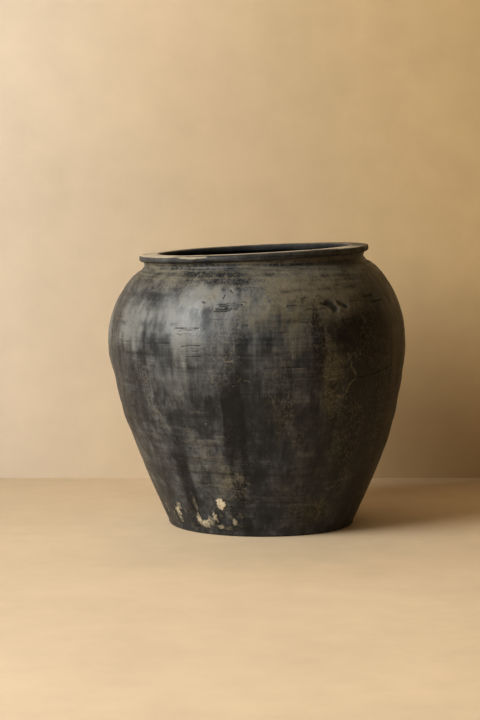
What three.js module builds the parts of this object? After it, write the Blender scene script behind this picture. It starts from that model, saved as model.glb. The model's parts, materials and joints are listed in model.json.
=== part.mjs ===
// Coil-built black clay storage pot, made the way its potter makes it: a pressed floor disc, a fillet
// coil in its inner corner, nine wall coils, a neck coil and a broad flat lip coil, luted with slip.
// Millimetres, +Z up. The origin is the centre of the underside. The upper wall settled while it was
// soft, so the mouth has crept towards -X and its lip lies lower on that side.
import * as THREE from "three";

// Outer form. The neck is where the last wall coil ends and the cove under the lip begins.
const potHeight = 464; // underside to the crest of the lip, at the middle of the mouth
const footRadius = 155; // the outer wall carried down to the ground, before the heel is rounded
const bellyRadius = 250;
const bellyHeight = 324;
const neckRadius = 188;

// Roundness of the wall's two curves, as shares of the height and width that each one spans
const footFullness = { out: 0.07, up: 0.08 };
const lowerBellyFullness = 0.44;
const upperBellyFullness = 0.25;
const shoulderFullness = { out: 0.67, down: 0.22 };

// Clay thickness and joints
const wallThickness = 12;
const wallCoilCount = 9;
const jointBevel = 8; // each joint slopes down this far along the wall from outside to inside
const slip = 0.3; // gap between two pieces, filled by slip when they are luted

// Floor
const floorThickness = 14;
const heelRounding = 6;
const filletSize = 16; // how far the corner coil reaches across the floor and up the wall

// Neck and lip
const neckHeight = 12; // end of the wall to the seat of the lip
const coveDepth = 3; // how far the neck draws in under the lip
const neckThickness = 16;
const lipHeight = 12; // seat to crest
const lipOverhang = 5; // past neckRadius
const lipWidth = 34; // from the outer edge to the mouth
const lipFall = 1; // the outer edge lies this much below the crest
const crestInset = 4; // from the mouth's edge to the crest
const lipEdgeRounding = 3;

// How the soft upper wall settled: nothing below settleStart, and all of it at the crest
const settleStart = 91;
const mouthShift = 12.5; // towards -X
const mouthSlope = 0.049; // rise of the lip per millimetre towards +X

const segmentCount = 60; // round the pot
const stepsPerCoil = 3; // up each face of a coil

const neckBase = potHeight - lipHeight - neckHeight;
const lipSeat = potHeight - lipHeight;

// The wall's outer line from the ground to the neck: radius across, height up.
const wallLine = new THREE.Path();
wallLine.moveTo(footRadius, 0);
wallLine.bezierCurveTo(
  footRadius + footFullness.out * (bellyRadius - footRadius), footFullness.up * bellyHeight,
  bellyRadius, bellyHeight * (1 - lowerBellyFullness),
  bellyRadius, bellyHeight,
);
wallLine.bezierCurveTo(
  bellyRadius, bellyHeight + upperBellyFullness * (neckBase - bellyHeight),
  neckRadius + shoulderFullness.out * (bellyRadius - neckRadius),
  neckBase - shoulderFullness.down * (neckBase - bellyHeight),
  neckRadius, neckBase,
);
const wallLength = wallLine.getLength();

// A point in the wall: distance along its outer line, and depth under the outer face.
function wallPoint(distance, depth) {
  const share = distance / wallLength;
  const tangent = wallLine.getTangentAt(share);
  const outward = new THREE.Vector2(tangent.y, -tangent.x);
  return wallLine.getPointAt(share).addScaledVector(outward, -depth);
}

// Distance along the wall at which a line this deep in it reaches a height, found by halving.
function distanceAtHeight(height, depth) {
  let low = 0;
  let high = wallLength / 2;
  for (let step = 0; step < 40; step++) {
    const middle = (low + high) / 2;
    if (wallPoint(middle, depth).y < height) low = middle;
    else high = middle;
  }
  return (low + high) / 2;
}

function facePoints(from, to, depth) {
  const points = [];
  for (let step = 0; step <= stepsPerCoil; step++) {
    points.push(wallPoint(THREE.MathUtils.lerp(from, to, step / stepsPerCoil), depth));
  }
  return points;
}

// Smooth 0 to 1 from settleStart up to the crest.
function settled(height) {
  return THREE.MathUtils.smoothstep(height, settleStart, potHeight);
}

// Turns a section (radius, height) about Z, then lets it settle with the rest of the pot.
function turn(section) {
  const geometry = new THREE.LatheGeometry(section, segmentCount).rotateX(Math.PI / 2);
  const position = geometry.getAttribute("position");
  for (let i = 0; i < position.count; i++) {
    const x = position.getX(i);
    const z = position.getZ(i);
    const amount = settled(z);
    position.setX(i, x - mouthShift * amount);
    position.setZ(i, z + mouthSlope * amount * x);
  }
  geometry.computeVertexNormals();
  return geometry;
}

function turnRing(section) {
  return turn([...section, section[0]]);
}

function makePiece(name, geometry, color, roughness) {
  const mesh = new THREE.Mesh(geometry, new THREE.MeshStandardMaterial({ color, roughness, metalness: 0 }));
  mesh.name = name;
  return mesh;
}

// The floor: a flat disc whose edge is the foot of the outer wall, with a rounded heel.
function floorDisc() {
  const top = wallPoint(distanceAtHeight(floorThickness, 0), 0);
  const onWall = wallPoint(distanceAtHeight(heelRounding, 0), 0);
  const underside = new THREE.Vector2(onWall.x - heelRounding, 0);
  const heel = new THREE.QuadraticBezierCurve(underside, new THREE.Vector2(onWall.x, 0), onWall);
  const bottomCentre = new THREE.Vector2(0, 0);
  const topCentre = new THREE.Vector2(0, floorThickness);
  return turn([bottomCentre, ...heel.getPoints(3), top, topCentre]);
}

// The fillet coil pressed into the corner between the floor and the foot coil.
function cornerCoil() {
  const floorLevel = floorThickness + slip;
  const depth = wallThickness + slip;
  const start = distanceAtHeight(floorLevel, depth);
  const wallSide = facePoints(start, start + filletSize, depth);
  const corner = wallSide[0];
  const tip = wallSide.at(-1);
  const toe = new THREE.Vector2(corner.x - filletSize, floorLevel);
  const pressed = new THREE.Vector2(corner.x - filletSize / 4, floorLevel + filletSize / 4);
  const hollow = new THREE.QuadraticBezierCurve(tip, pressed, toe);
  return turnRing([...wallSide, ...hollow.getPoints(3).slice(1)]);
}

// Joints up the wall, as distances along it at the outer and the inner face. The first one is the
// foot coil's level seat on the floor disc, and the others slope inwards by jointBevel.
const firstJoint = {
  outer: distanceAtHeight(floorThickness, 0),
  inner: distanceAtHeight(floorThickness, wallThickness),
};
const coilWidth = (wallLength - firstJoint.outer) / wallCoilCount;
function wallJoint(index) {
  if (index === 0) return firstJoint;
  const outer = firstJoint.outer + index * coilWidth;
  return { outer, inner: outer - jointBevel };
}

// Wall coils keep half a slip gap at each end, and a whole one over the floor disc.
function wallCoil(index) {
  const lower = wallJoint(index);
  const upper = wallJoint(index + 1);
  const below = index === 0 ? slip : slip / 2;
  const outside = facePoints(lower.outer + below, upper.outer - slip / 2, 0);
  const inside = facePoints(upper.inner - slip / 2, lower.inner + below, wallThickness);
  return turnRing([...outside, ...inside]);
}

// The neck: its foot is scarfed to the last wall coil, its outside is the cove under the lip.
const neckInner = neckRadius - neckThickness;
function neckCoil() {
  const joint = wallJoint(wallCoilCount);
  const foot = wallPoint(wallLength, 0);
  const direction = wallLine.getTangentAt(1);
  foot.addScaledVector(direction, slip / 2);
  const innerFoot = wallPoint(joint.inner + slip / 2, wallThickness);
  const seat = lipSeat - slip;
  const hollow = new THREE.Vector2(neckRadius - 2 * coveDepth, (neckBase + lipSeat) / 2);
  const underLip = new THREE.Vector2(neckRadius - coveDepth / 2, seat);
  const cove = new THREE.QuadraticBezierCurve(foot, hollow, underLip);
  const reach = (innerFoot.x - neckInner) / -direction.x;
  const bend = new THREE.Vector2(neckInner, Math.min(innerFoot.y + direction.y * reach, seat));
  const throat = new THREE.QuadraticBezierCurve(new THREE.Vector2(neckInner, seat), bend, innerFoot);
  return turnRing([...cove.getPoints(4), ...throat.getPoints(4)]);
}

// The lip: a flat broad coil with a rounded edge, highest near the mouth, level on the neck.
function lipCoil() {
  const outer = neckRadius + lipOverhang;
  const mouth = outer - lipWidth;
  const edgeTop = potHeight - lipFall;
  const crest = mouth + crestInset;
  const section = new THREE.Path();
  section.moveTo(neckInner, lipSeat);
  section.lineTo(neckRadius - coveDepth / 2, lipSeat);
  section.quadraticCurveTo(outer, lipSeat, outer, (lipSeat + edgeTop) / 2);
  section.quadraticCurveTo(outer, edgeTop, outer - lipEdgeRounding, edgeTop);
  section.quadraticCurveTo((outer + crest) / 2, potHeight, crest, potHeight);
  section.quadraticCurveTo(mouth, potHeight, mouth, (potHeight + lipSeat) / 2);
  section.quadraticCurveTo(mouth, lipSeat, neckInner, lipSeat);
  return turn(section.getPoints(3));
}

const wallCoilNames = [
  "foot_coil",
  "lower_wall_coil_1", "lower_wall_coil_2", "lower_wall_coil_3",
  "belly_coil_1", "belly_coil_2", "belly_coil_3",
  "shoulder_coil_1", "shoulder_coil_2",
];

const pot = new THREE.Group();
pot.name = "black_clay_pot";
pot.add(makePiece("floor_disc", floorDisc(), 0x2b2a29, 0.75));
pot.add(makePiece("corner_coil", cornerCoil(), 0x262524, 0.85));
for (let index = 0; index < wallCoilCount; index++) {
  const name = wallCoilNames[index] ?? `wall_coil_${index + 1}`;
  pot.add(makePiece(name, wallCoil(index), 0x34332f, 0.55));
}
pot.add(makePiece("neck_coil", neckCoil(), 0x3a3832, 0.6));
pot.add(makePiece("lip_coil", lipCoil(), 0x413f38, 0.6));

export default pot;
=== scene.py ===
# A coil-built black clay storage pot. Each clay piece is turned again from the rings of its own part
# in the model, finely enough to carry what the potter's hands and long use left on it.
import json
import math

import bmesh
import bpy
import numpy as np
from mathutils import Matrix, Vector


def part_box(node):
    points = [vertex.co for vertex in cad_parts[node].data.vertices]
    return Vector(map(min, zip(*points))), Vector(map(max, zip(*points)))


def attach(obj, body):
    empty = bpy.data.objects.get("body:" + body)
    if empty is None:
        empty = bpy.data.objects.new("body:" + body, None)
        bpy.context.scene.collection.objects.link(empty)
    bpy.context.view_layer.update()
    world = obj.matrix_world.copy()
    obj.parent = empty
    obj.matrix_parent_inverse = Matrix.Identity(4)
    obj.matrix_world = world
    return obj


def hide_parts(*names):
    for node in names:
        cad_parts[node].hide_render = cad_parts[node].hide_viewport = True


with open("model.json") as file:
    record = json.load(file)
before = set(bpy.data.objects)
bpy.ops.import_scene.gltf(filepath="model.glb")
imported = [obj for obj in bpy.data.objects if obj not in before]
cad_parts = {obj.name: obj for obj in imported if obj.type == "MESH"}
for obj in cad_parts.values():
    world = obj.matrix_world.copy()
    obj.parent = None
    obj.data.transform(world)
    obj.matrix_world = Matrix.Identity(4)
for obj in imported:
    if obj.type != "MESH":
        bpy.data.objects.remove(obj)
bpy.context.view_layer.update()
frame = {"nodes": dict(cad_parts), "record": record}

mm = 0.001
touching = 1e-5  # metres: closer than this is the same point

pottersHand = {  # what the hand left all over the clay, in millimetres
    "Wobble": 0.9,  # how far the wall wanders from round
    "Scraping": 0.30,  # upright facets left by the scraper
    "Banding": 0.22,  # level lines from smoothing with a wet cloth
    "Joint hollow": 0.55,  # where two coils meet and were not quite filled
    "Neck ridges": 0.45,
    "Finger ridges": 0.9,  # inside, where nobody smoothed them
    "Grain": 0.10,
    "Seed": 4.0,
}
turning = {  # how finely the clay is turned, in metres between two rings
    "columns": 1200,  # round the pot
    "outsideStep": 0.0015,
    "insideStep": 0.0036,
    "lipStep": 0.0011,
    "floorStep": 0.006,
    "jointRings": 3,
}
spacing = {  # of what the hand left, in metres
    "jointHollow": 0.007,  # half its width
    "neckRidges": 0.0072,
    "fingerRidges": 0.017,
}


# Sums on sockets. A wire is a socket's value, so mask + 1 or place * 3 adds its own Math node.
class Wire:
    def __init__(self, tree, socket):
        self.tree = tree
        self.socket = socket

    def __add__(self, other):
        return reckon("ADD", self, other)

    def __sub__(self, other):
        return reckon("SUBTRACT", self, other)

    def __mul__(self, other):
        return reckon("MULTIPLY", self, other)

    def __truediv__(self, other):
        return reckon("DIVIDE", self, other)

    def __neg__(self):
        return reckon("MULTIPLY", self, -1.0)

    def __abs__(self):
        return reckon("ABSOLUTE", self)

    def __mod__(self, other):
        return reckon("MODULO", self, other)

    __radd__ = __add__
    __rmul__ = __mul__


def reckon(operation, *values):
    wires = [v for v in values if isinstance(v, Wire)]
    tree = wires[0].tree
    vector = any(w.socket.type == "VECTOR" for w in wires)
    node = tree.nodes.new("ShaderNodeVectorMath" if vector else "ShaderNodeMath")
    node.operation = operation
    for socket, value in zip(node.inputs, values):
        connect(tree, socket, value)
    return Wire(tree, node.outputs[0])


def connect(tree, socket, value):
    if isinstance(value, Wire):
        tree.links.new(value.socket, socket)
        return
    wide = getattr(socket.default_value, "__len__", None)
    if wide and isinstance(value, (int, float)):
        value = (value,) * wide()
    elif wide and len(value) < wide():
        value = (*value, 1)
    socket.default_value = value


# A bench adds nodes to one tree, with their settings and inputs given by name
class Bench:
    def __init__(self, tree):
        self.tree = tree

    def node(self, kind, settings=None, output=0, **values):
        node = self.tree.nodes.new(kind)
        for name, value in (settings or {}).items():
            setattr(node, name, value)
        for name, value in values.items():
            name = name.replace("_", " ")
            connect(self.tree, next(s for s in node.inputs if s.enabled and s.name == name), value)
        ready = [s for s in node.outputs if s.enabled]
        return Wire(self.tree, node.outputs[output] if isinstance(output, str) else ready[output])

    def noise(self, place, scale, detail=3.0, roughness=0.5, seed=0.0):  # mostly within -1 and 1
        return self.node("ShaderNodeTexNoise", {"noise_dimensions": "4D"}, Vector=place * scale, W=seed,
                         Scale=1.0, Detail=detail, Roughness=roughness) * 2.0 - 1.0

    def ease(self, value, start, end, low=0.0, high=1.0):  # smoothly from low to high
        return self.node("ShaderNodeMapRange", {"interpolation_type": "SMOOTHSTEP"}, Value=value,
                         From_Min=start, From_Max=end, To_Min=low, To_Max=high)

    def mix(self, share, first, second, blend="MIX"):
        settings = {"data_type": "RGBA", "blend_type": blend, "clamp_factor": True}
        return self.node("ShaderNodeMix", settings, Factor=share, A=first, B=second)

    def split(self, vector):
        node = self.node("ShaderNodeSeparateXYZ", Vector=vector).socket.node
        return [Wire(self.tree, socket) for socket in node.outputs]

    def join(self, x, y, z):
        return self.node("ShaderNodeCombineXYZ", X=x, Y=y, Z=z)


# The section of a CAD ring: radius, height, drift and tilt of each circle that it is made of. Drift
# is how far the circle has crept along X, and tilt is how much it rises per metre of X.
def sectionOf(node):
    solid = bmesh.new()
    solid.from_mesh(frame["nodes"][node].data)
    bmesh.ops.remove_doubles(solid, verts=solid.verts, dist=touching / 10)
    sides = []
    for side in (1, -1):
        rest = {v for v in solid.verts if abs(v.co.y) < touching and v.co.x * side > -touching}
        ends = [v for v in rest if sum(e.other_vert(v) in rest for e in v.link_edges) == 1]
        here = min(ends or rest, key=lambda v: v.co.z)
        path = []
        while here:
            path.append((here.co.x * side, here.co.z))
            rest.discard(here)
            here = next((e.other_vert(here) for e in here.link_edges if e.other_vert(here) in rest), None)
        path = np.array(path)
        after = np.roll(path, -1, axis=0)
        if not ends and (path[:, 0] * after[:, 1] - after[:, 0] * path[:, 1]).sum() < 0:
            path = path[::-1]
        sides.append(path)
    solid.free()
    right, left = sides
    turns = [left] if ends else [np.roll(left, k, axis=0) for k in range(len(left))]
    left = min(turns, key=lambda turn: np.abs(turn - turn.mean(0) - right + right.mean(0)).sum())
    radius, height = ((right + left) / 2).T
    drift, rise = ((right - left) / 2).T
    return np.stack([radius, height, drift, rise / np.maximum(radius, touching)], axis=1)


# A wall piece's outer and inner face, both from the bottom up. The outer one starts where the piece
# below it ends.
def wallFaces(section, below):
    start = np.linalg.norm((section - below)[:, :2], axis=1).argmin()
    turned = np.roll(section, -start, axis=0)
    half = len(section) // 2
    return turned[:half], turned[half:][::-1]


# A smooth line through circles, by the distance along it
class ClayLine:
    def __init__(self, knots):
        self.knots = knots
        steps = np.linalg.norm(np.diff(knots[:, :2], axis=0), axis=1)
        self.at = np.concatenate([[0], np.cumsum(steps)])
        rows, pull = np.eye(len(knots)), np.zeros_like(knots)
        for i in range(1, len(knots) - 1):
            rows[i, i - 1:i + 2] = steps[i - 1], 2 * (steps[i - 1] + steps[i]), steps[i]
            slopes = np.diff(knots[i - 1:i + 2], axis=0) / steps[i - 1:i + 1, None]
            pull[i] = 6 * (slopes[1] - slopes[0])
        self.bend = np.linalg.solve(rows, pull)

    def circles(self, distance):
        i = np.clip(np.searchsorted(self.at, distance) - 1, 0, len(self.at) - 2)
        span = (self.at[i + 1] - self.at[i])[:, None]
        after = (distance - self.at[i])[:, None]
        before = span - after
        bent = (self.bend[i] * before**3 + self.bend[i + 1] * after**3) / (6 * span)
        start = (self.knots[i] / span - self.bend[i] * span / 6) * before
        end = (self.knots[i + 1] / span - self.bend[i + 1] * span / 6) * after
        return bent + start + end


# One line through the faces of neighbouring pieces, every slip gap closed, and each piece's ends on it
def joinFaces(faces):
    knots, ends = [], []
    for face in faces:
        if knots:
            knots[-1] = (knots[-1] + face[0]) / 2
            knots.extend(face[1:])
        else:
            knots.extend(face)
        ends.append(len(knots) - 1)
    line = ClayLine(np.array(knots))
    return line, [(line.at[a], line.at[b]) for a, b in zip([0, *ends[:-1]], ends)]


# The rows of a section that is ready to turn: a circle, the way out of the clay, the distance along
# the face, the distance to the nearest joint, and the kind of skin
hidden, outside, inside, lipSkin, underneath = range(5)
circleColumns = 4  # the circle's share of a row


def faceRows(line, start, end, step, skin, flip=1, joints=()):
    at = np.linspace(start, end, max(2, round((end - start) / step)) + 1)
    ahead = line.circles(at + touching) - line.circles(at - touching)
    out = np.stack([ahead[:, 1], -ahead[:, 0]], axis=1) * flip
    out /= np.linalg.norm(out, axis=1)[:, None]
    near = np.min([np.abs(at - j) for j in joints], axis=0) if len(joints) else np.ones_like(at)
    return np.column_stack([line.circles(at), out, at, near, np.full_like(at, skin)])


def jointRows(first, last):
    share = np.linspace(0, 1, turning["jointRings"] + 2)[1:-1, None]
    rows = first + (last - first) * share
    rows[:, circleColumns:] = 0
    return rows


# Turns a section round the pot's axis and gives it the hand's unevenness
def turnedClayTree():
    tree = bpy.data.node_groups.new("turnedClay", "GeometryNodeTree")
    sockets = {"Section": "Geometry", "Columns": "Int"}
    sockets.update(dict.fromkeys(pottersHand, "Float"))
    sockets["Clay"] = "Material"
    for name, kind in sockets.items():
        tree.interface.new_socket(name, in_out="INPUT", socket_type="NodeSocket" + kind)
    tree.interface.new_socket("Piece", in_out="OUTPUT", socket_type="NodeSocketGeometry")
    bench = Bench(tree)
    given = {s.name: Wire(tree, s) for s in tree.nodes.new("NodeGroupInput").outputs if s.name}

    onPoints = {"data_type": "FLOAT_VECTOR", "domain": "POINT"}

    def named(name):
        return bench.node("GeometryNodeInputNamedAttribute", {"data_type": "FLOAT_VECTOR"}, Name=name)

    def keep(clay, name, value):
        return bench.node("GeometryNodeStoreNamedAttribute", onPoints, Geometry=clay, Name=name, Value=value)

    count = bench.node("GeometryNodeAttributeDomainSize", {"component": "MESH"}, "Point Count",
                       Geometry=given["Section"])
    grid = bench.node("GeometryNodeMeshGrid", Size_X=1.0, Size_Y=1.0,
                      Vertices_X=given["Columns"] + 1.0, Vertices_Y=count + 1.0)
    across, up, _ = bench.split(bench.node("GeometryNodeInputPosition"))
    row = reckon("ROUND", (up + 0.5) * count) % count
    angle = (across + 0.5) * (2 * math.pi)

    def sampled(name):
        return bench.split(bench.node("GeometryNodeSampleIndex", onPoints, Geometry=given["Section"],
                                      Value=named(name), Index=row))

    radius, height, drift = sampled("circle")
    tilt, outAcross, outUp = sampled("lean")
    along, joint, skin = sampled("layer")
    turnX, turnY = reckon("COSINE", angle), reckon("SINE", angle)
    place = bench.join(drift + radius * turnX, radius * turnY, height + tilt * radius * turnX)
    # everything is kept on the grid before it moves, because a field is worked out where it is used
    clay = keep(grid, "outward", bench.join(outAcross * turnX, outAcross * turnY, outUp))
    clay = keep(clay, "spot", bench.join(angle, along, radius))
    clay = keep(clay, "layer", bench.join(height, joint, skin))
    clay = bench.node("GeometryNodeSetPosition", Geometry=clay, Position=place)

    base, seed = bench.node("GeometryNodeInputPosition"), given["Seed"]
    height, joint, skin = bench.split(named("layer"))
    _, along, _ = bench.split(named("spot"))

    def isSkin(kind):
        return bench.ease(abs(skin - float(kind)), 0.5, 0.4)

    fineGrit = bench.noise(base, 260.0, 2.0, 0.5, seed + 11.0)
    coarseGrit = bench.noise(base, 75.0, 3.0, 0.6, seed + 13.0)
    uprightGrit = bench.noise(base, (70.0, 70.0, 14.0), 3.0, 0.6, seed + 15.0)
    clay = keep(clay, "grit", bench.join(fineGrit, coarseGrit, uprightGrit))
    wander = bench.noise(base, (5.0, 5.0, 7.0), 1.0, 0.4, seed)
    facets = bench.noise(base, (24.0, 24.0, 3.0), 2.0, 0.5, seed + 3.0)
    level = bench.noise(base, (5.0, 5.0, 190.0), 3.0, 0.6, seed + 5.0)
    patchy = bench.ease(bench.noise(base, (9.0, 9.0, 14.0), 2.0, 0.5, seed + 7.0), -0.35, 0.35)
    fromJoint = joint / spacing["jointHollow"]
    hollow = reckon("EXPONENT", -fromJoint * fromJoint) * bench.ease(height, 0.02, 0.06)
    ridges = reckon("SINE", height * (2 * math.pi / spacing["neckRidges"]) + wander * 1.5)
    neckTurns = ridges * bench.ease(height, 0.424, 0.436)
    fingers = reckon("SINE", along * (2 * math.pi / spacing["fingerRidges"]) + wander * 2.5) * patchy
    grain = bench.noise(base, 320.0, 2.0, 0.6, seed + 9.0)
    wallRelief = given["Scraping"] * facets + given["Banding"] * level * (0.4 + patchy)
    wallRelief = wallRelief - given["Joint hollow"] * hollow * patchy
    wallRelief = wallRelief + given["Neck ridges"] * neckTurns * (0.5 + 0.5 * patchy)
    shown = isSkin(outside) + isSkin(inside) + isSkin(lipSkin)
    relief = shown * (given["Wobble"] * wander + given["Grain"] * grain)
    relief = relief + isSkin(outside) * wallRelief + isSkin(inside) * given["Finger ridges"] * fingers
    relief = relief + isSkin(lipSkin) * given["Banding"] * (0.6 * level + 1.2 * facets)
    clay = bench.node("GeometryNodeSetPosition", Geometry=clay, Offset=named("outward") * (relief * mm))
    clay = bench.node("GeometryNodeMergeByDistance", Geometry=clay, Distance=touching)
    clay = bench.node("GeometryNodeSetShadeSmooth", Geometry=clay)
    clay = bench.node("GeometryNodeRealizeInstances", Geometry=clay)
    clay = bench.node("GeometryNodeSetMaterial", Geometry=clay, Material=given["Clay"])
    connect(tree, tree.nodes.new("NodeGroupOutput").inputs["Piece"], clay)
    return tree


def turnPiece(node, rows):
    name = node.title()
    mesh = bpy.data.meshes.new(name)
    mesh.from_pydata(rows[:, :3], [], [])
    for attribute, values in (("circle", rows[:, :3]), ("lean", rows[:, 3:6]), ("layer", rows[:, 6:9])):
        kept = mesh.attributes.new(attribute, "FLOAT_VECTOR", "POINT")
        kept.data.foreach_set("vector", np.ascontiguousarray(values, np.float32).ravel())
    piece = bpy.data.objects.new(name, mesh)
    bpy.context.scene.collection.objects.link(piece)
    turner = piece.modifiers.new("turn", "NODES")
    turner.node_group = clayTree
    given = {"Columns": turning["columns"], "Clay": materials[slots[node]], **pottersHand}
    for socket in clayTree.interface.items_tree:
        if socket.name in given:
            turner[socket.identifier] = given[socket.name]
    bpy.context.view_layer.update()
    turned = piece.evaluated_get(bpy.context.evaluated_depsgraph_get())
    piece.data = bpy.data.meshes.new_from_object(turned)
    piece.modifiers.remove(turner)
    bpy.data.meshes.remove(mesh)
    if rows[0, 0] < touching:  # a disc's rings close on the axis, where no edge is needed between them
        solid = bmesh.new()
        solid.from_mesh(piece.data)
        bmesh.ops.delete(solid, geom=[e for e in solid.edges if e.is_wire], context="EDGES")
        solid.to_mesh(piece.data)
        solid.free()
    piece.data.name = name
    return piece


def vectors(mesh, name):
    values = np.empty(len(mesh.vertices) * 3, np.float32)
    mesh.attributes[name].data.foreach_get("vector", values)
    return values.reshape(-1, 3)


frontAngle = 270  # degrees round from +X

# What happened to the pot. A place on the wall is (degrees round from the front, millimetres up).
pushes = [  # bulges and dents: place, width and height in millimetres, how far out
    dict(at=(-88, 296), wide=90, tall=38, out=1.5),
    dict(at=(-80, 256), wide=120, tall=44, out=-2.0),
    dict(at=(-90, 184), wide=110, tall=40, out=1.6),
    dict(at=(85, 292), wide=90, tall=44, out=1.6),
    dict(at=(93, 208), wide=90, tall=34, out=-2.4),
    dict(at=(84, 145), wide=90, tall=34, out=0.9),
    dict(at=(-14, 170), wide=34, tall=190, out=-0.8),
    dict(at=(178, 240), wide=120, tall=70, out=-1.8),
    dict(at=(140, 330), wide=90, tall=50, out=1.5),
    dict(at=(-140, 150), wide=100, tall=60, out=1.4),
]
darkStrokes = [  # scored and pressed marks: half width and depth in millimetres, then places
    (7.0, 2.4, [(29.5, 380.5), (31, 377), (32, 372.5)]), (4.2, 1.8, [(34.5, 380), (36, 377), (37.5, 374)]),
    (2.6, 0.9, [(26.5, 381), (29, 379)]), (1.0, 0.4, [(20, 374), (24, 373), (28, 374)]),
    (0.9, 0.4, [(18.5, 391), (21.5, 392)]), (0.8, 0.3, [(25, 393), (27, 393)]),
    (0.9, 0.3, [(40, 381), (43, 381)]), (0.9, 0.3, [(-15, 388), (-8, 389.5)]),
    (1.1, 0.3, [(-14, 385), (-5, 386)]), (0.8, 0.3, [(-12, 382.5), (-4, 383)]),
    (1.3, 0.3, [(-15.5, 380.5), (-7, 380)]), (1.0, 0.3, [(-16, 377), (-10, 378)]),
    (0.8, 0.2, [(-6, 391), (-3, 390)]), (0.9, 0.4, [(-12.8, 397), (-12.2, 403)]),
    (1.5, 0.5, [(-10.2, 409), (-9.2, 405)]), (1.6, 0.6, [(-21.2, 392), (-20.4, 391)]),
    (0.8, 0.3, [(-32, 351), (-26, 351.5), (-22, 351)]), (0.7, 0.3, [(-31, 342), (-25, 341.5)]),
    (0.7, 0.2, [(-45, 325), (-34, 326)]), (0.7, 0.3, [(-29, 322), (-21.5, 323)]),
    (0.6, 0.2, [(-32, 347.5), (-23, 348)]), (0.7, 0.3, [(-28.5, 304), (-22, 305)]),
    (1.6, 0.5, [(-5, 354), (-3, 353)]), (1.3, 0.4, [(-4.8, 337), (-4, 337)]),
    (0.9, 0.3, [(37.5, 262), (44, 263), (51, 266), (60, 272)]), (0.9, 0.4, [(17.5, 354), (22, 353)]),
    (0.8, 0.3, [(34, 354), (39, 354)]), (1.3, 0.3, [(52, 376), (60, 378)]),
    (2.4, 0.2, [(48, 386), (54, 387)]), (0.8, 0.2, [(-66, 327), (-56, 326)]),
    (0.6, 0.2, [(-6, 284), (6, 285.5), (18, 285)]), (0.7, 0.2, [(-30, 313), (-22, 314)]),
    (0.6, 0.2, [(2, 262), (14, 261)]), (0.7, 0.2, [(-24, 318), (-20, 317.5)]),
    (0.9, 0.3, [(12, 380), (16, 381)]),
]
paleStrokes = [  # scratches that show the paler clay
    (1.1, 0.3, [(-12.5, 296), (-9.5, 297.5)]), (0.5, 0.1, [(-16, 258), (-11, 258.5), (-5, 258)]),
    (0.6, 0.2, [(-8.5, 262), (-7, 268), (-5, 266), (-3, 264)]), (0.5, 0.2, [(-13, 269), (-11.5, 270)]),
    (1.4, 0.1, [(-36, 161), (-27, 164.5), (-19, 166)]), (1.7, 0.12, [(-31, 137), (-25, 135.5), (-17, 138)]),
    (1.3, 0.12, [(-34, 86), (-27, 88), (-15, 88)]), (1.2, 0.07, [(-52, 150), (-44, 152)]),
    (1.4, 0.06, [(-30, 214), (-21, 213)]),
    (1.4, 0.25, [(36.4, 294), (37.2, 279), (39.4, 268), (39.4, 261), (36.6, 252), (35.6, 244), (34.4, 236)]),
    (1.2, 0.2, [(35.8, 303), (35.5, 297)]), (1.0, 0.2, [(38.4, 304), (38.2, 298)]),
    (1.2, 0.2, [(41.2, 305), (41.6, 297)]), (1.7, 0.2, [(27, 262), (33, 264)]),
    (1.8, 0.2, [(31, 236), (35, 231)]), (0.6, 0.2, [(10, 282), (17, 283)]),
    (0.6, 0.2, [(23, 268), (27, 268)]), (0.9, 0.2, [(-60, 433), (-58, 438)]),
    (0.8, 0.3, [(-28.5, 423), (-27, 437)]), (0.7, 0.2, [(-31, 425), (-27.5, 433)]),
    (0.5, 0.2, [(-27, 423), (-25.5, 434)]), (0.6, 0.2, [(30, 90), (42, 94), (52, 97)]),
    (0.6, 0.2, [(32, 80), (48, 86)]),
]
limeSpots = [  # lime crust: place, half width and half height in millimetres, how pale
    ((-22, 55), 10, 9.5, 1.25), ((-38, 26), 6, 13, 0.85), ((-34, 17), 9, 9, 0.85), ((-30, 24), 7, 12, 0.65),
    ((-27, 31), 5, 12, 0.9), ((-25, 15), 9, 5, 0.75), ((-15.5, 27), 4, 8, 0.85), ((-18, 34), 6, 6, 0.5),
    ((-55, 30), 8, 20, 0.85), ((-52, 44), 8, 9, 0.75), ((-60, 22), 4, 12, 0.6), ((-68, 38), 4, 14, 0.75),
    ((-38, 56), 4, 20, 0.6), ((-12, 20), 10, 4, 0.45), ((-20, 13), 11, 5, 0.6), ((-44, 12), 8, 6, 0.4),
    ((-10, 101), 10, 9, 0.42), ((-7, 93), 8, 5, 0.4), ((-12, 108), 5, 5, 0.4), ((-6, 125), 8, 3, 0.4),
    ((-3, 130), 3, 6, 0.35), ((-23, 36), 6, 5, 0.5), ((-12, 36), 5, 7, 0.45), ((-16, 42), 6, 4, 0.4),
    ((-48, 36), 4, 12, 0.4), ((-22.5, 193), 1.3, 1.2, 0.9), ((-23.3, 180), 1.5, 0.9, 0.8),
    ((-27.5, 193), 0.9, 1.0, 0.7), ((-16.5, 174), 1.7, 0.9, 0.6), ((-21, 188), 1.0, 0.8, 0.7),
    ((-24.5, 185), 1.0, 1.4, 0.5), ((-20.5, 182), 0.8, 1.0, 0.6), ((-26, 190), 1.8, 0.7, 0.5),
    ((-31, 200), 2.2, 0.8, 0.6), ((-16.5, 151), 1.8, 1.2, 0.7), ((-18.5, 156), 1.3, 1.0, 0.6),
    ((-58, 262), 1.4, 1.6, 0.6), ((31, 17), 6, 3, 0.3), ((27, 22), 3, 6, 0.14), ((-67, 325), 1.2, 2.4, 0.5),
    ((-20, 351), 1.2, 1.6, 0.4),
]
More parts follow.
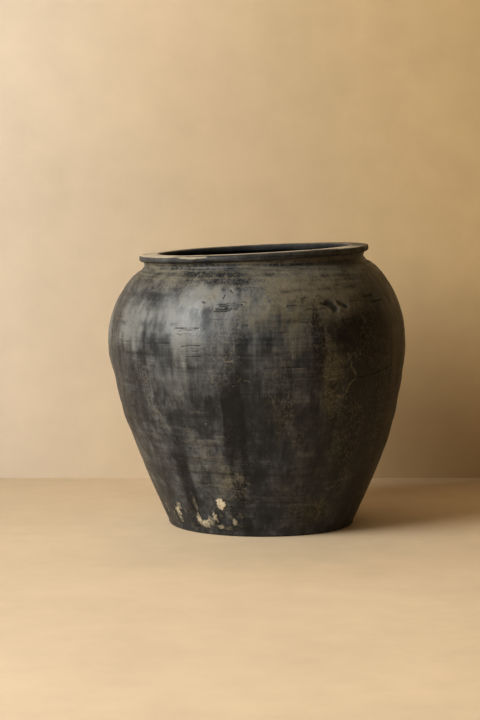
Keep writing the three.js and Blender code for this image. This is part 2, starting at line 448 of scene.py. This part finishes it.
washes = [  # brushed patches, a few of them painted sheen and painted shade: place, half width and height in millimetres; how pale, olive and filmed
    # the filmed patches on the upper left and the shoulder are partly grey film, partly painted sheen where
    # the key's highlight falls
    dict(at=(-36, 372), wide=56, tall=36, film=1.0),
    dict(at=(-28, 335), wide=40, tall=42, film=1.0),
    dict(at=(-56, 358), wide=44, tall=48, film=1.2, pale=0.3),
    dict(at=(-14, 400), wide=60, tall=28, film=1.0, olive=0.5),
    dict(at=(-23, 402), wide=40, tall=22, film=1.0, pale=0.5, olive=0.6),
    dict(at=(14, 408), wide=70, tall=24, film=1.1, olive=0.8, pale=0.3),
    dict(at=(30, 388), wide=84, tall=44, film=0.9, olive=1.2),
    dict(at=(-3, 372), wide=60, tall=38, film=0.9, olive=0.6),
    dict(at=(-34, 262), wide=66, tall=50, film=0.5, pale=0.4),
    dict(at=(-2, 306), wide=50, tall=56, film=0.15, pale=0.4, olive=0.2),
    dict(at=(-46, 392), wide=20, tall=22, pale=-0.7, film=-0.5),
    dict(at=(-62, 322), wide=16, tall=40, pale=-0.3, film=-0.1),
    dict(at=(-19, 385), wide=9, tall=30, pale=-0.5, film=-0.5, soft=0.7),
    dict(at=(-25, 104), wide=32, tall=58, pale=0.9, olive=0.6, soft=0.4),
    dict(at=(-39, 96), wide=11, tall=74, pale=-1.0, soft=0.6),
    dict(at=(-11, 170), wide=15, tall=118, pale=-1.5, soft=0.5),
    dict(at=(-47, 150), wide=26, tall=90, pale=0.5, film=0.2),
    dict(at=(-6, 318), wide=16, tall=62, pale=-0.5, film=-0.35, soft=1.0),
    dict(at=(15, 338), wide=22, tall=32, pale=0.7, film=0.3, olive=0.3, soft=0.9),
    dict(at=(23, 322), wide=10, tall=55, pale=-1.0, film=-0.4, soft=0.6),
    dict(at=(28, 268), wide=17, tall=58, pale=0.9, olive=1.2, soft=0.8),
    # a dark patch on the right side, away from the key: painted shade
    dict(at=(44, 326), wide=62, tall=40, pale=-1.1, olive=0.5, film=-0.4),
    dict(at=(31, 42), wide=26, tall=24, pale=0.8, olive=1.0),
    dict(at=(6, 200), wide=30, tall=60, pale=0.25, olive=0.5),
    # a large dark patch over the right side's lower half: painted shade
    dict(at=(50, 190), wide=76, tall=130, pale=-1.3, olive=0.6, film=-0.3),
]
aroundTheBack = {  # how many marks are made up there
    "seed": 7,
    "darkStrokes": 30,
    "paleStrokes": 34,
    "limeSpots": 34,
    "specks": 110,  # of lime, all round
    "washes": 30,
}


# The same kinds of marks, on the sides and the back
def wornPlaces():
    rng = np.random.default_rng(aroundTheBack["seed"])
    for _ in range(aroundTheBack["darkStrokes"]):
        around, up, length = rng.uniform(100, 260), rng.uniform(60, 400), rng.uniform(2, 9)
        end = (around + length, up + rng.uniform(-3, 3))
        darkStrokes.append((rng.uniform(0.7, 1.3), rng.uniform(0.2, 0.5), [(around, up), end]))
    for _ in range(aroundTheBack["paleStrokes"]):
        around, up = rng.uniform(58, 302), rng.uniform(50, 420)
        end = (around + rng.uniform(2, 14), up + rng.uniform(-3, 4))
        if rng.random() < 0.4:
            end = (around + rng.uniform(0.5, 2), up + rng.uniform(10, 40))
        middle = ((around + end[0]) / 2 + rng.uniform(-0.6, 0.6), (up + end[1]) / 2 + rng.uniform(-1, 1))
        paleStrokes.append((rng.uniform(0.5, 0.9), 0.2, [(around, up), middle, end]))
    for _ in range(aroundTheBack["limeSpots"]):
        place = (rng.uniform(70, 284), 8 + 70 * rng.random() ** 2)
        limeSpots.append((place, rng.uniform(2, 9), rng.uniform(3, 12), rng.uniform(0.25, 0.8)))
    for _ in range(aroundTheBack["specks"]):
        small = rng.uniform(0.6, 1.3)
        place = (rng.uniform(-90, 270), rng.uniform(40, 400))
        limeSpots.append((place, small, small * rng.uniform(0.7, 1.6), rng.uniform(0.15, 0.4)))
    for _ in range(aroundTheBack["washes"]):
        place = (rng.uniform(66, 290), rng.uniform(60, 400))
        wash = dict(at=place, wide=rng.uniform(10, 46), tall=rng.uniform(24, 100))
        wash.update(pale=rng.uniform(-1.1, 0.9), olive=rng.uniform(0, 0.8), film=rng.uniform(0, 0.3))
        wash["film"] += 0.5 * (place[1] > 320) * rng.random()  # more of it on the shoulder
        washes.append(wash)


# The distance along the wall's outer line at a height in millimetres
def alongAt(up):
    return np.interp(up * mm, outerHeights, outerAt)


# An angle from another one, within half a turn either way
def turnFrom(angle, start):
    return (angle - start + math.pi) % (2 * math.pi) - math.pi


# The wall unrolled around the first of some places, in metres, and those places on it
def flatPlaces(spot, places):
    firstAround, firstUp = places[0]
    radius = np.interp(alongAt(firstUp), outerAt, outerRadii)
    turn = turnFrom(spot[:, 0], math.radians(firstAround + frontAngle))
    local = np.column_stack([turn * radius, spot[:, 1] - alongAt(firstUp)])
    path = [(math.radians(a - firstAround) * radius, alongAt(up) - alongAt(firstUp)) for a, up in places]
    return local, np.array(path)


def distanceTo(local, path):
    best = np.full(len(local), np.inf)
    for start, end in zip(path[:-1], path[1:]):
        way = end - start
        share = np.clip((local - start) @ way / max(way @ way, 1e-12), 0, 1)
        best = np.minimum(best, np.linalg.norm(local - start - share[:, None] * way, axis=1))
    return best


def eased(value):
    value = np.clip(value, 0, 1)
    return value * value * (3 - 2 * value)


turnersNotes = ("spot", "layer", "outward", "grit")  # what the turning tree leaves on a mesh
weathering = {  # in millimetres
    "darkFraying": 2.2,  # how far grit pushes the edge of a stroke about
    "paleFraying": 4.5,
    "fullDepth": 0.3,  # a shallower stroke shows less
    "crustHeight": 0.35,
    "jointWidth": 4.0,
}


# Knocks, scratches and crust on a turned piece. Three attributes say where: marks (scored, pale and
# lime), wear (broken edges, joints, and how far inside, for the painted shade there) and coat (pale,
# olive and filmed patches, partly painted sheen and painted shade).
def weather(piece):
    mesh = piece.data
    spot, layer, outward, grit = (vectors(mesh, name) for name in turnersNotes)
    co = np.empty(len(mesh.vertices) * 3, np.float32)
    mesh.vertices.foreach_get("co", co)
    co = co.reshape(-1, 3)
    marks, wear, coat, move = np.zeros_like(co), np.zeros_like(co), np.zeros_like(co), np.zeros(len(co))
    wall = layer[:, 2] == outside
    for push in pushes:
        local, _ = flatPlaces(spot, [push["at"]])
        far = (local[:, 0] / (push["wide"] * mm / 2)) ** 2 + (local[:, 1] / (push["tall"] * mm / 2)) ** 2
        move += wall * push["out"] * mm * np.exp(-far)
    kinds = ((0, darkStrokes, weathering["darkFraying"]), (1, paleStrokes, weathering["paleFraying"]))
    for column, strokes, fraying in kinds:
        for width, depth, points in strokes:
            local, path = flatPlaces(spot, points)
            close = np.abs(local - path.mean(0)) < np.ptp(path, axis=0) / 2 + 10 * mm
            near = np.flatnonzero(wall & close.all(1))
            if not len(near):
                continue
            away = distanceTo(local[near] + fraying * mm * grit[near, :2], path) / (width * mm)
            gaps = (1.9 * grit[near, 1] + 1.1 * grit[near, 0]) * (1 if column else min(1, 1 / width))
            cut = eased(1.35 - away) * np.clip(0.8 + gaps, 0, 1)
            shown = cut * min(1, depth / weathering["fullDepth"])
            marks[near, column] = np.maximum(marks[near, column], shown)
            move[near] -= depth * mm * cut
    for at, wide, tall, pale in limeSpots:
        local, _ = flatPlaces(spot, [at])
        far = np.hypot(local[:, 0] / (wide * mm), local[:, 1] / (tall * mm))
        near = np.flatnonzero(wall & (far < 2.4))
        ragged = 1.2 - far[near] + 1.1 * grit[near, 1] + 0.7 * grit[near, 0] + 0.3 * grit[near, 2]
        marks[near, 2] = np.maximum(marks[near, 2], eased(ragged / 0.5) * pale)
    for wash in washes:
        local, _ = flatPlaces(spot, [wash["at"]])
        far = np.hypot(local[:, 0] / (wash["wide"] * mm), local[:, 1] / (wash["tall"] * mm))
        share = wall * eased((1.4 - far + 0.7 * grit[:, 2] + 0.3 * grit[:, 1]) / wash.get("soft", 1.2))
        for column, name in enumerate(("pale", "olive", "film")):
            coat[:, column] += share * wash.get(name, 0)
    move += weathering["crustHeight"] * mm * marks[:, 2] * wall
    wear[:, 1] = np.exp(-((layer[:, 1] / (weathering["jointWidth"] * mm)) ** 2)) * wall
    # inside faces take a darker colour in the material: painted shade in the pot's hollow
    wear[:, 2] = np.isin(layer[:, 2], (hidden, inside))
    co += outward * move[:, None].astype(np.float32)
    co[:, 2] = np.maximum(co[:, 2], 0)
    if (layer[:, 2] == lipSkin).any():
        chipLip(co, spot, grit, wear, coat)
    mesh.vertices.foreach_set("co", co.ravel())
    for name, values in (("marks", marks), ("wear", wear), ("coat", coat)):
        kept = mesh.attributes.new(name, "FLOAT_VECTOR", "POINT")
        kept.data.foreach_set("vector", values.astype(np.float32).ravel())
    for name in turnersNotes:
        mesh.attributes.remove(mesh.attributes[name])
    mesh.set_sharp_from_angle(angle=math.radians(48))
    mesh.update()


lipChips = [  # breaks: middle in degrees round from the front, then length and depths in millimetres
    dict(around=-32, long=64, down=5.0, inward=7.0),
    dict(around=-62, long=13, down=1.4, inward=2.5),
    dict(around=8, long=10, down=1.0, inward=2.0),
    dict(around=132, long=26, down=2.6, inward=5.0),
    dict(around=214, long=16, down=1.8, inward=3.5),
]


def chipLip(co, spot, grit, wear, coat):
    turn = turnFrom(spot[:, 0], math.radians(frontAngle))
    edge = np.hypot(co[:, 0] - lipCentre[0], co[:, 1] - lipCentre[1])
    top = co[:, 2] - (lipTilt * (co[:, 0] - lipCentre[0]) + lipCentre[2])  # height over the lip's seat
    # the lip's inner slope takes the inside's darker colour too: painted shade
    inwards = eased((lipCrest - edge) / (5 * mm))
    wear[:, 2] = np.maximum(wear[:, 2], 0.85 * inwards)
    # at the front the lip's outer part is painted darker: painted shade on the lip's front face
    shadedLipFront = eased((edge - lipCrest) / (6 * mm) - 2.3)
    coat[:, 0] = -1.3 * shadedLipFront * eased((turn + 0.9) / 0.6) * eased((1.1 - turn) / 0.7)
    crest = eased(1.3 - np.abs(edge - lipCrest) / (3.5 * mm)) * (top > lipTop / 2)
    wear[:, 0] = crest * np.clip(0.42 + 0.9 * grit[:, 1], 0, 0.8)
    for chip in lipChips:
        away = turnFrom(turn, math.radians(chip["around"]))
        share = 1 - (np.abs(away) * lipOuter / (chip["long"] * mm / 2)) ** 4
        broken = np.clip(share, 0, 1) ** 0.5 * (1 + 0.5 * grit[:, 1])
        inward, down = chip["inward"] * mm * broken, chip["down"] * mm * broken
        # the break is a slope from the top face down to the outer edge
        slopeHeight = lipTop - down * (1 - np.clip((lipOuter - edge) / np.maximum(inward, touching), 0, 1))
        over = np.where((broken > 0.02) & (edge > lipOuter - inward), top - slopeHeight, 0)
        over = np.clip(over + 0.5 * mm * grit[:, 0] * (over > 0), 0, None)
        co[:, 2] -= over
        wear[:, 0] = np.maximum(wear[:, 0], eased(over / (0.8 * mm)))


# Fired clay. One look runs on over the whole wall, and the lip's and the floor's differ in a few values.
wallLook = {
    "cool": (0.0205, 0.0224, 0.0252),
    # olive is also the darker colour of the painted shade on the side away from the key
    "olive": (0.0165, 0.0143, 0.0080),
    "film": (0.165, 0.168, 0.155),  # grey film on the shoulder, partly painted sheen where the key's highlight falls
    "dustAndSheen": (0.150, 0.130, 0.090),  # dust under the neck; on the olive side also the colour of the painted sheen
    "scored": (0.004, 0.004, 0.004),
    "pale": (0.25, 0.22, 0.15),
    "lime": (0.56, 0.49, 0.36),
    "broken": (0.33, 0.28, 0.20),
    "rubbed": (0.54, 0.47, 0.35),  # the lip's top
    "insideShade": (0.008, 0.0085, 0.0075),
    "roughness": 0.42,
    "smoothest": 0.26,
    "roughest": 0.95,
    "lipWear": 0.0,  # how far the lip's rubbed top shows
}
lipLook = {**wallLook, "lipWear": 1.0, "roughness": 0.45}
floorLook = {**wallLook, "insideShade": (0.014, 0.013, 0.011)}
shine = {"Specular_IOR_Level": 0.34}
grainRelief = {"distance": 0.0012, "strength": 0.8}


def firedClay(name, look):
    material = bpy.data.materials.new(name)
    material.use_nodes = True
    tree = material.node_tree
    tree.nodes.clear()
    bench = Bench(tree)

    def painted(attribute):
        return bench.split(bench.node("ShaderNodeAttribute", {"attribute_name": attribute}, "Vector"))

    place = bench.node("ShaderNodeTexCoord", None, "Object")
    x, y, z = bench.split(place)
    scored, pale, lime = painted("marks")
    broken, joint, insideShade = painted("wear")
    paler, olive, film = painted("coat")
    band = bench.noise(place, (15.0, 15.0, 1.8), 3.0, 0.55, 1.0)  # broad upright bands
    brush = bench.noise(place, (46.0, 46.0, 4.5), 4.0, 0.6, 2.0)
    streak = bench.noise(place, (170.0, 170.0, 12.0), 4.0, 0.7, 3.0)
    level = bench.noise(place, (5.0, 5.0, 210.0), 4.0, 0.65, 4.0)  # lines round the pot
    cloud = bench.noise(place, 8.0, 4.0, 0.6, 5.0)
    blotch = bench.noise(place, 40.0, 5.0, 0.65, 6.0)
    fine = bench.noise(place, 620.0, 3.0, 0.6, 7.0)
    hairs = bench.noise(place, (330.0, 330.0, 16.0), 3.0, 0.6, 8.0)
    crazing = bench.noise(place, (140.0, 140.0, 100.0), 3.0, 0.65, 9.0)
    hairLines = bench.noise(place, (7.0, 7.0, 300.0), 3.0, 0.6, 10.0)
    patches = bench.noise(place, (17.0, 17.0, 8.0), 4.0, 0.6, 11.0)

    # black clay, bluish where it was burnished and olive where it was not. Towards +X, away from the
    # key, it turns olive and darker: painted shade with a painted warm reflection
    oliveAndShadedSide = bench.ease(olive + x * 3.2 + 0.9 * cloud + 0.5 * band, 0.1, 1.1)
    coal = bench.mix(oliveAndShadedSide, look["cool"], look["olive"])
    lines = level * bench.ease(patches + cloud, -0.5, 0.4)
    tone = band + 1.1 * brush + 0.9 * streak + lines + 0.9 * cloud + 1.3 * blotch + 0.7 * paler
    coal = bench.mix(1.0, coal, reckon("EXPONENT", tone), "MULTIPLY")

    # a grey film over the shoulder, brushed thin in upright strokes, partly painted sheen on the upper left
    high = bench.ease(z, 0.27, 0.37) * bench.ease(z, 0.475, 0.41)
    filmed = film + 0.25 * paler + 0.2 * high + 0.5 * brush + 0.45 * streak + 0.8 * patches
    filmed = bench.ease(filmed + 0.9 * blotch + 0.5 * cloud + 0.35 * level, -0.3, 1.8)
    coal = bench.mix(filmed * 0.9, coal, bench.mix(oliveAndShadedSide, look["film"], look["dustAndSheen"]))

    # dust in the lines under the neck
    underNeck = bench.ease(z + 0.012 * cloud, 0.395, 0.430)
    dusty = underNeck * bench.ease(level * 2.2 + patches + 1.2 * blotch, -0.45, 0.7)
    coal = bench.mix(dusty * (0.8 - 0.6 * look["lipWear"]), coal, look["dustAndSheen"])
    if look["lipWear"]:
        top = bench.ease(bench.split(bench.node("ShaderNodeNewGeometry", None, "Normal"))[2], 0.45, 0.95)
        handled = bench.ease(y, -0.02, -0.10, 0.1, 1.0) * bench.ease(x, 0.19, 0.13, 0.3, 1.0)
        handled = reckon("MAXIMUM", bench.ease(x, -0.08, -0.17), handled)
        worn = top * handled * bench.ease(blotch + 0.8 * patches + 1.2 * paler, -0.9, 0.2)
        coal = bench.mix(worn * 0.95, coal, look["rubbed"])

    # pale crazing, upright hairs and level hair lines, in patches
    crazed = bench.ease(patches + 0.6 * underNeck + 0.3 * olive, -0.1, 0.4)
    crazed = bench.ease(abs(crazing), 0.06, 0.0) * crazed
    coal = bench.mix(crazed * (0.5 - 0.35 * look["lipWear"]), coal, look["pale"])
    haired = bench.ease(hairs, 0.20, 0.50) * bench.ease(patches - 0.5 * cloud, -0.2, 0.4)
    coal = bench.mix(haired * 0.30, coal, look["pale"])
    lined = bench.ease(abs(hairLines), 0.05, 0.0) * bench.ease(blotch + cloud, 0.0, 0.5)
    coal = bench.mix(lined * 0.26, coal, look["pale"])
    inked = bench.ease(hairLines, 0.22, 0.42) * bench.ease(patches, -0.15, 0.35)
    coal = bench.mix(inked * 0.8, coal, look["scored"])
    seam = joint * bench.ease(z, 0.015, 0.05) * bench.ease(cloud + 2.0 * blotch, -0.2, 0.8)
    coal = bench.mix(seam * 0.7, coal, look["scored"])

    coal = bench.mix(pale * 0.65, coal, look["pale"])
    crust = bench.mix(bench.ease(lime + 0.6 * blotch + 0.5 * fine, 0.5, 1.1), look["pale"], look["lime"])
    crusted = bench.ease(lime + 0.9 * crazing + 0.5 * blotch + 0.4 * fine, 0.2, 1.35)
    crusted = bench.ease(lime, 0.03, 0.15) * crusted
    coal = bench.mix(crusted, coal, crust)
    coal = bench.mix(scored, coal, look["scored"])
    coal = bench.mix(broken * 0.9, coal, look["broken"])
    # inside the pot the clay is painted darker, as painted shade in the hollow, and made rougher as bare clay
    insideShadeColor = bench.mix(1.0, look["insideShade"], reckon("EXPONENT", 1.5 * cloud + blotch), "MULTIPLY")
    coal = bench.mix(insideShade, coal, insideShadeColor)

    matt = dusty * 0.22 + crazed * 0.2 + lime * 0.4 + scored * 0.5 + broken * 0.3 + insideShade * 0.3 + pale * 0.2
    rough = look["roughness"] + 0.18 * blotch - 0.16 * brush - 0.10 * streak
    rough = rough + 0.15 * patches + 0.16 * level + matt
    rough = reckon("MINIMUM", reckon("MAXIMUM", rough, look["smoothest"]), look["roughest"])
    relief = 0.12 * fine + 0.30 * streak + 0.24 * lines + 0.30 * blotch + 0.10 * crazed
    relief = relief - 0.5 * scored + 0.5 * lime
    bump = bench.node("ShaderNodeBump", Strength=grainRelief["strength"],
                      Distance=grainRelief["distance"], Height=relief)
    clay = bench.node("ShaderNodeBsdfPrincipled", Base_Color=coal, Roughness=rough, Normal=bump, **shine)
    connect(tree, tree.nodes.new("ShaderNodeOutputMaterial").inputs["Surface"], clay)
    return material


materials = {
    "burnished_black_clay": firedClay("burnishedBlackClay", wallLook),
    "rubbed_neck_clay": firedClay("rubbedNeckClay", wallLook),
    "rubbed_lip_clay": firedClay("rubbedLipClay", lipLook),
    "bare_inside_clay": firedClay("bareInsideClay", wallLook),
    "bare_floor_clay": firedClay("bareFloorClay", floorLook),
}
slots = {part["node"]: part["material_slot"] for part in frame["record"]["subparts"]}
clayTree = turnedClayTree()
wornPlaces()
print("materials and turning tree ready")


def middleHeight(node):
    low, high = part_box(node)
    return (low.z + high.z) / 2


# Sections of every piece, and the lines that the wall's outside and inside follow
sections = {node: sectionOf(node) for node in frame["nodes"]}
wallCoils = sorted(set(sections) - {"floor_disc", "corner_coil", "neck_coil", "lip_coil"}, key=middleHeight)
wallPieces = [*wallCoils, "neck_coil"]
floorSection = sections["floor_disc"]
wallSides = {}
below = floorSection[-2]  # the disc's upper edge
for node in wallPieces:
    wallSides[node] = wallFaces(sections[node], below)
    below = wallSides[node][0][-1]
outerLine, outerSpans = joinFaces([floorSection[1:-1], *(wallSides[node][0] for node in wallPieces)])
innerLine, innerSpans = joinFaces([wallSides[node][1] for node in wallPieces])
outerAt = outerLine.at
outerRadii, outerHeights = outerLine.knots[:, 0], outerLine.knots[:, 1]
outerJoints = [start for start, _ in outerSpans[1:]]
innerJoints = [start for start, _ in innerSpans]

pieces = {}
for node, (start, end), (innerStart, innerEnd) in zip(wallPieces, outerSpans[1:], innerSpans):
    out = faceRows(outerLine, start, end, turning["outsideStep"], outside, 1, outerJoints)
    back = faceRows(innerLine, innerStart, innerEnd, turning["insideStep"], inside, -1, innerJoints)[::-1]
    rows = np.vstack([out, jointRows(out[-1], back[0]), back, jointRows(back[-1], out[0])])
    pieces[node] = turnPiece(node, rows)
print("wall and neck coils turned")


# A flat stretch of the floor disc, from one circle to another
def flatRows(first, last, step, skin, up):
    count = max(2, round(abs(last[0] - first[0]) / step))
    rows = first + (last - first) * np.linspace(0, 1, count + 1)[:, None]
    level = np.tile([0, up, 0, 1, skin], (len(rows), 1))
    level[:, 2] = rows[:, 0]
    return np.column_stack([rows, level])


heel = faceRows(outerLine, *outerSpans[0], turning["outsideStep"] / 2, outside)
sole = flatRows(floorSection[0], floorSection[1], turning["floorStep"], underneath, -1)
bed = flatRows(heel[-1, :4], floorSection[-1], turning["floorStep"], inside, 1)
pieces["floor_disc"] = turnPiece("floor_disc", np.vstack([sole[:-1], heel, bed[1:]]))

# The corner coil: its three edges are where its section turns most
corner = sections["corner_coil"]
arriving = (corner - np.roll(corner, 1, axis=0))[:, :2]
leaving = np.roll(arriving, -1, axis=0)
sideways = arriving[:, 0] * leaving[:, 1] - arriving[:, 1] * leaving[:, 0]
bends = np.arctan2(sideways, (arriving * leaving).sum(1))
edges = sorted(np.argsort(bends)[-3:])
runs = []
for k, edge in enumerate(edges):
    count = (edges[(k + 1) % 3] - edge) % len(corner)
    run = ClayLine(corner[[(edge + i) % len(corner) for i in range(count + 1)]])
    runs.append(faceRows(run, 0, run.at[-1], turning["insideStep"] / 2, hidden)[:-1])
hollow = min(runs, key=lambda run: run[:, 0].mean() - run[:, 1].mean())
hollow[:, -1] = inside
pieces["corner_coil"] = turnPiece("corner_coil", np.vstack(runs))

# The lip: one smooth line round its section, and no unevenness where it sits on the neck
lip = sections["lip_coil"]
lap = 3  # knots past each end of the line, so that it closes smoothly
lipLine = ClayLine(np.vstack([lip[-lap:], lip, lip[:lap + 1]]))
lipRows = faceRows(lipLine, lipLine.at[lap], lipLine.at[lap + len(lip)], turning["lipStep"], lipSkin)[:-1]
lipSeat, lipTop, lipOuter = lip[:, 1].min(), np.ptp(lip[:, 1]), lip[:, 0].max()
lipCrest = lip[lip[:, 1].argmax(), 0]
underLip = lipRows[:, 1] < lipSeat + 0.4 * mm
roundedEdge = lipRows[:, 0] >= lipOuter - 6 * mm
lipRows[underLip & ~roundedEdge, -1] = hidden
lipCentre, lipTilt = (lip[:, 2].mean(), 0.0, lipSeat), lip[:, 3].mean()
pieces["lip_coil"] = turnPiece("lip_coil", lipRows)
print("floor, corner coil and lip turned")

for node, piece in pieces.items():
    weather(piece)
    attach(piece, "root")
    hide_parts(node)
print("pot weathered:", sum(len(piece.data.vertices) for piece in pieces.values()), "points")

# A pale floor that meets a pale wall close behind the pot. The wall shows from its front only.
studio = {
    # the far colors are painted light on the floor and painted shade on the wall
    "floorColor": (0.50, 0.405, 0.28),
    "floorFarPaintedLight": (0.76, 0.60, 0.40),  # far colors are on the side away from the key
    "wallColor": (0.53, 0.455, 0.365),
    "wallFarPaintedShade": (0.55, 0.395, 0.195),
    "skyColor": (1.0, 0.82, 0.62),
    "skyFarColor": (1.0, 0.70, 0.38),
    "skyStrength": 0.24,
    "skyFarStrength": 0.17,
    "wallBehind": 0.508,  # metres behind the pot's axis
    "reach": 9,  # half the width of the floor and the wall
    "wallHeight": 6,
    "clearance": 0.2 * mm,  # under the sole
    "gamma": 0.86,  # under 1, so the shadows are deeper
}


def paintedSheet(name, corners, color, farSidePaintedLight, oneSided=False):
    mesh = bpy.data.meshes.new(name)
    mesh.from_pydata(corners, [], [tuple(range(len(corners)))])
    sheet = bpy.data.objects.new(name, mesh)
    bpy.context.scene.collection.objects.link(sheet)
    material = bpy.data.materials.new(name)
    material.use_nodes = True
    tree = material.node_tree
    tree.nodes.clear()
    bench = Bench(tree)
    place = bench.node("ShaderNodeTexCoord", None, "Object")
    broad = bench.noise(place, 2.2, 5.0, 0.6, 1.0)
    mottle = 1.0 + 0.16 * broad + 0.10 * bench.noise(place, 14.0, 5.0, 0.65, 2.0)
    # towards the far side the floor is painted lighter, painted light where the pot's shadow falls, and the
    # wall darker and browner, painted shade
    across = bench.ease(bench.split(place)[0], -0.9, 0.7)
    tinted = bench.mix(1.0, bench.mix(across, color, farSidePaintedLight), mottle, "MULTIPLY")
    paint = bench.node("ShaderNodeBsdfPrincipled", Roughness=0.75, Base_Color=tinted)
    if oneSided:
        fromBehind = bench.node("ShaderNodeNewGeometry", None, "Backfacing")
        clear = bench.node("ShaderNodeBsdfTransparent")
        node = tree.nodes.new("ShaderNodeMixShader")
        for socket, value in zip(node.inputs, (fromBehind, paint, clear)):
            connect(tree, socket, value)
        paint = Wire(tree, node.outputs[0])
    connect(tree, tree.nodes.new("ShaderNodeOutputMaterial").inputs["Surface"], paint)
    mesh.materials.append(material)


far, behind, top = studio["reach"], studio["wallBehind"], studio["wallHeight"]
ground = -studio["clearance"]
floorCorners = [(-far, -far, ground), (far, -far, ground), (far, far, ground), (-far, far, ground)]
wallCorners = [(-far, behind, ground), (far, behind, ground), (far, behind, top), (-far, behind, top)]
paintedSheet("Floor", floorCorners, studio["floorColor"], studio["floorFarPaintedLight"])
paintedSheet("Wall", wallCorners, studio["wallColor"], studio["wallFarPaintedShade"], oneSided=True)

lights = [  # place, aim, size across and up, watts, color
    dict(name="Key", at=(-1.98, -1.50, 1.50), aim=(0, 0, 0.30), size=(1.6, 1.9), power=122,
         color=(0.97, 0.985, 1.0)),
    dict(name="Fill", at=(-0.5, -3.6, 2.6), aim=(0, -0.4, 0), size=(2.4, 2.0), power=11,
         color=(1.0, 0.90, 0.74)),
]
for light in lights:
    lamp = bpy.data.lights.new(light["name"], "AREA")
    lamp.shape, lamp.size, lamp.size_y = "RECTANGLE", *light["size"]
    lamp.energy, lamp.color = light["power"], light["color"]
    stand = bpy.data.objects.new(light["name"], lamp)
    stand.location = light["at"]
    stand.rotation_euler = (Vector(light["aim"]) - Vector(light["at"])).to_track_quat("-Z", "Y").to_euler()
    bpy.context.scene.collection.objects.link(stand)

world = bpy.data.worlds.new("Studio")
world.use_nodes = True
bench = Bench(world.node_tree)
across, _, _ = bench.split(bench.node("ShaderNodeTexCoord", None, "Generated"))
sky = world.node_tree.nodes["Background"]  # dimmer and warmer on the side away from the key
strength = bench.ease(across, -0.8, 0.6, studio["skyStrength"], studio["skyFarStrength"])
tint = bench.mix(bench.ease(across, -0.7, 0.5), studio["skyColor"], studio["skyFarColor"])
connect(world.node_tree, sky.inputs["Strength"], strength)
connect(world.node_tree, sky.inputs["Color"], tint)
bpy.context.scene.world = world
bpy.context.scene.view_settings.view_transform = "Standard"
bpy.context.scene.view_settings.gamma = studio["gamma"]

viewpoint = {"at": (-0.036, -3.708, 0.618), "downwards": 5.27, "lens": 110}
camera = bpy.data.objects.new("Camera", bpy.data.cameras.new("Camera"))
camera.data.lens = viewpoint["lens"]
camera.location = viewpoint["at"]
camera.rotation_euler = (math.radians(90 - viewpoint["downwards"]), 0, 0)
bpy.context.scene.collection.objects.link(camera)
bpy.context.scene.camera = camera
print("stage, lights and camera ready")

bpy.context.view_layer.update()
